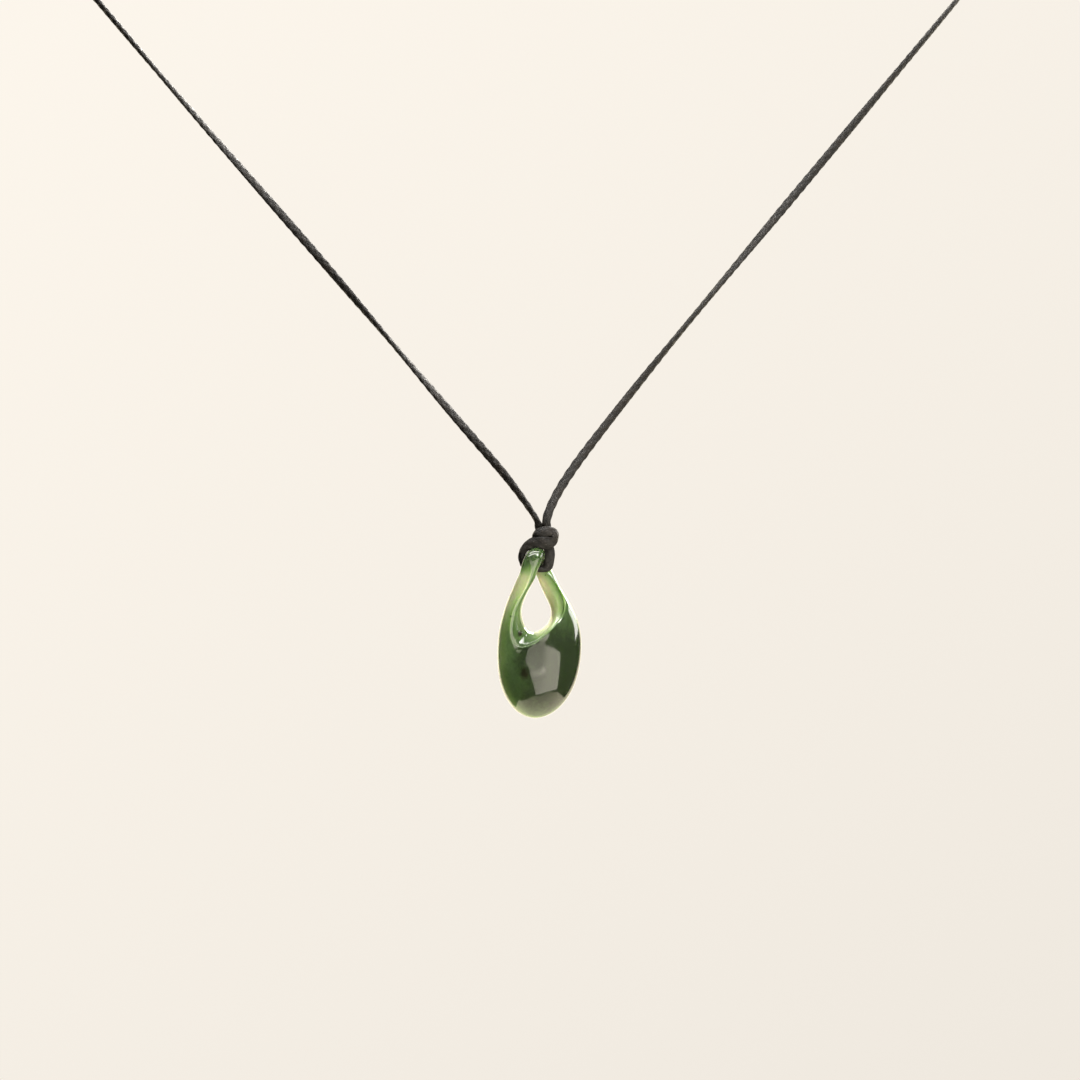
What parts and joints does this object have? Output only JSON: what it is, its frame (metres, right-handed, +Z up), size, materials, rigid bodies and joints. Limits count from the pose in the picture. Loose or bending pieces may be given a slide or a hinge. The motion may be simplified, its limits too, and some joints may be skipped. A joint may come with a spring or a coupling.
{
  "type": "carved greenstone twist pendant on a braided neck cord",
  "caption": "Carved green stone twist with a teardrop eye, hung on a braided neck cord by a hitch under its bridge.",
  "frame": {"origin": "the nape, where the cord lies over the back of the neck, in the middle of the closing knot", "axes": "+Z up, -Y to the front where the pendant hangs, +X to the viewer's right"},
  "size_m": [0.1887, 0.1294, 0.1803],
  "materials": {
    "greenstone": "polished, slightly translucent, clouded from pale yellow-green arms to a dark green body",
    "braided_cord": "fine braided, waxed, with small glints"
  },
  "bodies": {
    "cord": {"neck_cord": "braided_cord", "front_knot": "braided_cord", "closing_knot": "braided_cord"},
    "stone": {"greenstone_twist": "greenstone"}
  },
  "joints": [
    {"name": "stone_swing", "type": "hinge", "parent": "cord", "child": "stone", "pos_m": [0, -0.122, -0.1514], "axis": [1, 0, 0], "range_deg": [-12, 12]}
  ]
}
